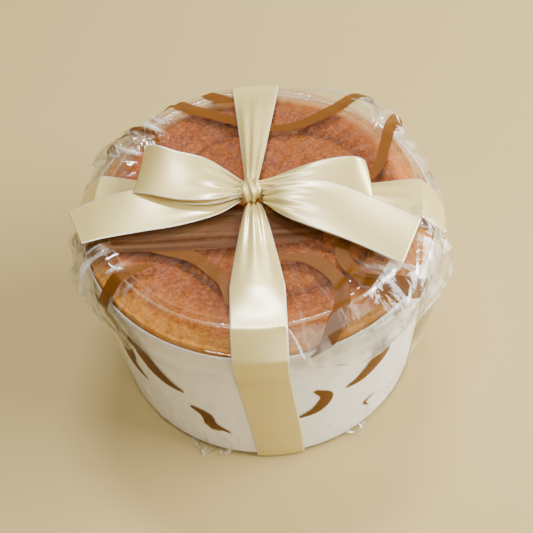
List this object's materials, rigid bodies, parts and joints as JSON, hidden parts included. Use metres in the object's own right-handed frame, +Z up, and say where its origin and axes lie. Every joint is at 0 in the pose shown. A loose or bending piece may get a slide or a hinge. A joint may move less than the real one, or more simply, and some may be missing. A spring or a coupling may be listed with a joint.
{
  "type": "chiffon cake",
  "caption": "Round chiffon cake in a white tub with a clear raised lid, wrapped in clear film and tied crosswise with a cream satin ribbon and a bow.",
  "frame": {"origin": "middle of the ribbon cross under the base, on the table", "axes": "+Z up, -Y towards the pack's front, the bow's loops along X"},
  "size_m": [0.165, 0.1612, 0.1194],
  "materials": {
    "tub": "smooth white, semi-matt",
    "cake": "baked golden-brown crust over pale yellow sponge",
    "lid": "clear thin plastic",
    "film": "clear crinkled film with brown brush marks",
    "ribbon": "cream satin"
  },
  "bodies": {
    "root": {"tub": "tub", "cake": "cake", "lid": "lid", "film_wrap": "film", "ribbon_lengthwise": "ribbon", "ribbon_crosswise": "ribbon", "bow_knot": "ribbon", "bow_loop_left": "ribbon", "bow_loop_right": "ribbon", "bow_tail_left": "ribbon", "bow_tail_right": "ribbon"}
  },
  "joints": []
}
